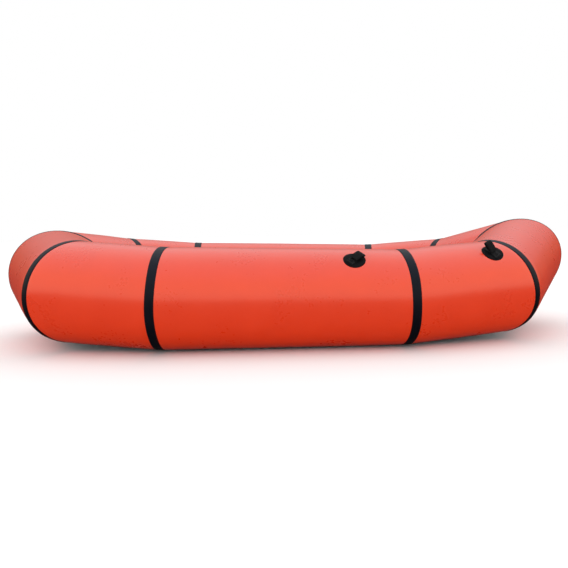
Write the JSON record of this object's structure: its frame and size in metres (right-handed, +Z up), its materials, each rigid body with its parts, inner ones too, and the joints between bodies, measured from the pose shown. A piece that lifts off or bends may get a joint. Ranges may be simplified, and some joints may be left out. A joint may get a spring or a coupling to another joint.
{
  "type": "inflatable packraft",
  "caption": "One-person inflatable raft: a welded side tube round a fabric floor, with taped seams, tie-down loops, a screw valve, a seat cushion and a folding backrest.",
  "frame": {"origin": "centre of the underside of the floor, on the surface the boat stands on", "axes": "+X towards the bow, +Y to port, +Z up"},
  "size_m": [1.8532, 0.9568, 0.3521],
  "materials": {
    "tube": "orange-red polyurethane-coated nylon, satin",
    "tape": "black welded tape and patches, satin",
    "floor": "black heavy coated nylon, matt",
    "webbing": "black woven nylon webbing",
    "cushion": "dark grey coated nylon, matt",
    "valve": "black moulded nylon",
    "rubber": "black rubber, matt"
  },
  "bodies": {
    "hull": {"backrest_hinge_seat_leaf": "tape", "bow_panel_port": "tube", "bow_panel_starboard": "tube", "bow_quarter_port": "tube", "bow_quarter_starboard": "tube", "floor_sheet": "floor", "seat_cushion": "cushion", "seat_strap_patch_port": "tape", "seat_strap_patch_starboard": "tape", "seat_strap_port": "webbing", "seat_strap_starboard": "webbing", "seat_valve_flange": "valve", "side_panel_port": "tube", "side_panel_starboard": "tube", "stern_panel_port": "tube", "stern_panel_starboard": "tube", "stern_quarter_port": "tube", "stern_quarter_starboard": "tube", "tape_bow_corner_port": "tape", "tape_bow_corner_starboard": "tape", "tape_bow_side_port": "tape", "tape_bow_side_starboard": "tape", "tape_bow_tip": "tape", "tape_stern_corner_port": "tape", "tape_stern_corner_starboard": "tape", "tape_stern_side_port": "tape", "tape_stern_side_starboard": "tape", "tape_stern_tip": "tape", "tie_down_anchor_bow_port": "webbing", "tie_down_anchor_bow_starboard": "webbing", "tie_down_anchor_mid_port": "webbing", "tie_down_anchor_mid_starboard": "webbing", "tie_down_patch_bow_port": "tape", "tie_down_patch_bow_starboard": "tape", "tie_down_patch_mid_port": "tape", "tie_down_patch_mid_starboard": "tape", "valve_base": "valve", "valve_patch": "tape"},
    "backrest": {"backrest_cushion": "cushion", "backrest_hinge_back_leaf": "tape", "backrest_valve_flange": "valve"},
    "backrest_valve_seal": {"backrest_valve_seal": "rubber"},
    "backrest_valve_stem": {"backrest_valve_stem": "valve"},
    "seat_valve_seal": {"seat_valve_seal": "rubber"},
    "seat_valve_stem": {"seat_valve_stem": "valve"},
    "plug_gasket": {"valve_plug_gasket": "rubber"},
    "plug": {"valve_plug": "valve", "valve_leash": "rubber"},
    "flap": {"valve_flap": "rubber"},
    "cap_gasket": {"valve_cap_gasket": "rubber", "valve_leash_cap_ring": "rubber"},
    "cap": {"valve_cap": "valve"},
    "tie_down_loop_bow_port": {"tie_down_loop_bow_port": "webbing"},
    "tie_down_loop_bow_starboard": {"tie_down_loop_bow_starboard": "webbing"},
    "tie_down_loop_mid_port": {"tie_down_loop_mid_port": "webbing"},
    "tie_down_loop_mid_starboard": {"tie_down_loop_mid_starboard": "webbing"}
  },
  "joints": [
    {"name": "tie_down_bow_port_swing", "type": "hinge", "parent": "hull", "child": "tie_down_loop_bow_port", "pos_m": [0.57446, 0.36011, 0.2608], "axis": [-0.7862, 0.5366, -0.3066], "range_deg": [0, 164]},
    {"name": "tie_down_bow_starboard_swing", "type": "hinge", "parent": "hull", "child": "tie_down_loop_bow_starboard", "pos_m": [0.57446, -0.36011, 0.2608], "axis": [0.7862, 0.5366, 0.3066], "range_deg": [-24, 140]},
    {"name": "tie_down_mid_port_swing", "type": "hinge", "parent": "hull", "child": "tie_down_loop_mid_port", "pos_m": [0.18799, 0.41998, 0.25225], "axis": [-0.662, -0.5872, 0.4658], "range_deg": [0, 165]},
    {"name": "tie_down_mid_starboard_swing", "type": "hinge", "parent": "hull", "child": "tie_down_loop_mid_starboard", "pos_m": [0.18799, -0.41998, 0.25225], "axis": [0.662, -0.5872, -0.4658], "range_deg": [0, 165]},
    {"name": "plug_lift", "type": "slide", "parent": "hull", "child": "plug_gasket", "axis": [0.7639, -0.3125, 0.5646], "range_m": [0, 0.0121]},
    {"name": "plug_turn", "type": "hinge", "parent": "plug_gasket", "child": "plug", "pos_m": [-0.56478, 0.09956, 0.265], "axis": [0.7639, -0.3125, 0.5646], "range_deg": [0, 1080]},
    {"name": "cap_lift", "type": "slide", "parent": "plug", "child": "cap_gasket", "axis": [0.7639, -0.3125, 0.5646], "range_m": [0, 0.0061]},
    {"name": "cap_turn", "type": "hinge", "parent": "cap_gasket", "child": "cap", "pos_m": [-0.56478, 0.09956, 0.265], "axis": [0.7639, -0.3125, 0.5646], "range_deg": [0, 720]},
    {"name": "flap_open", "type": "hinge", "parent": "plug", "child": "flap", "pos_m": [-0.57084, 0.11588, 0.25425], "axis": [0.4502, -0.3686, -0.8133], "range_deg": [0, 35], "stiffness_Nm_per_rad": 0.001, "springref_deg": -11.46},
    {"name": "seat_valve_lift", "type": "slide", "parent": "hull", "child": "seat_valve_seal", "axis": [0, 0, 1], "range_m": [0, 0.003]},
    {"name": "seat_valve_turn", "type": "hinge", "parent": "seat_valve_seal", "child": "seat_valve_stem", "pos_m": [-0.115, 0.115, 0.08307], "axis": [0, 0, 1], "range_deg": [0, 180.5]},
    {"name": "backrest_fold", "type": "hinge", "parent": "hull", "child": "backrest", "pos_m": [-0.378, 0, 0.08397], "axis": [0, 1, 0], "range_deg": [0, 90]},
    {"name": "backrest_valve_lift", "type": "slide", "parent": "backrest", "child": "backrest_valve_seal", "axis": [-0.2419, 0, 0.9703], "range_m": [0, 0.003]},
    {"name": "backrest_valve_turn", "type": "hinge", "parent": "backrest_valve_seal", "child": "backrest_valve_stem", "pos_m": [-0.45745, 0.095, 0.24762], "axis": [-0.2419, 0, 0.9703], "range_deg": [0, 180.5]}
  ],
  "couplings": [
    {"joint": "plug_lift", "follows": "plug_turn", "m_per_rad": 0.00063662},
    {"joint": "cap_lift", "follows": "cap_turn", "m_per_rad": 0.00047746},
    {"joint": "seat_valve_turn", "follows": "seat_valve_lift", "rad_per_m": 1047.2},
    {"joint": "backrest_valve_turn", "follows": "backrest_valve_lift", "rad_per_m": 1047.2}
  ]
}
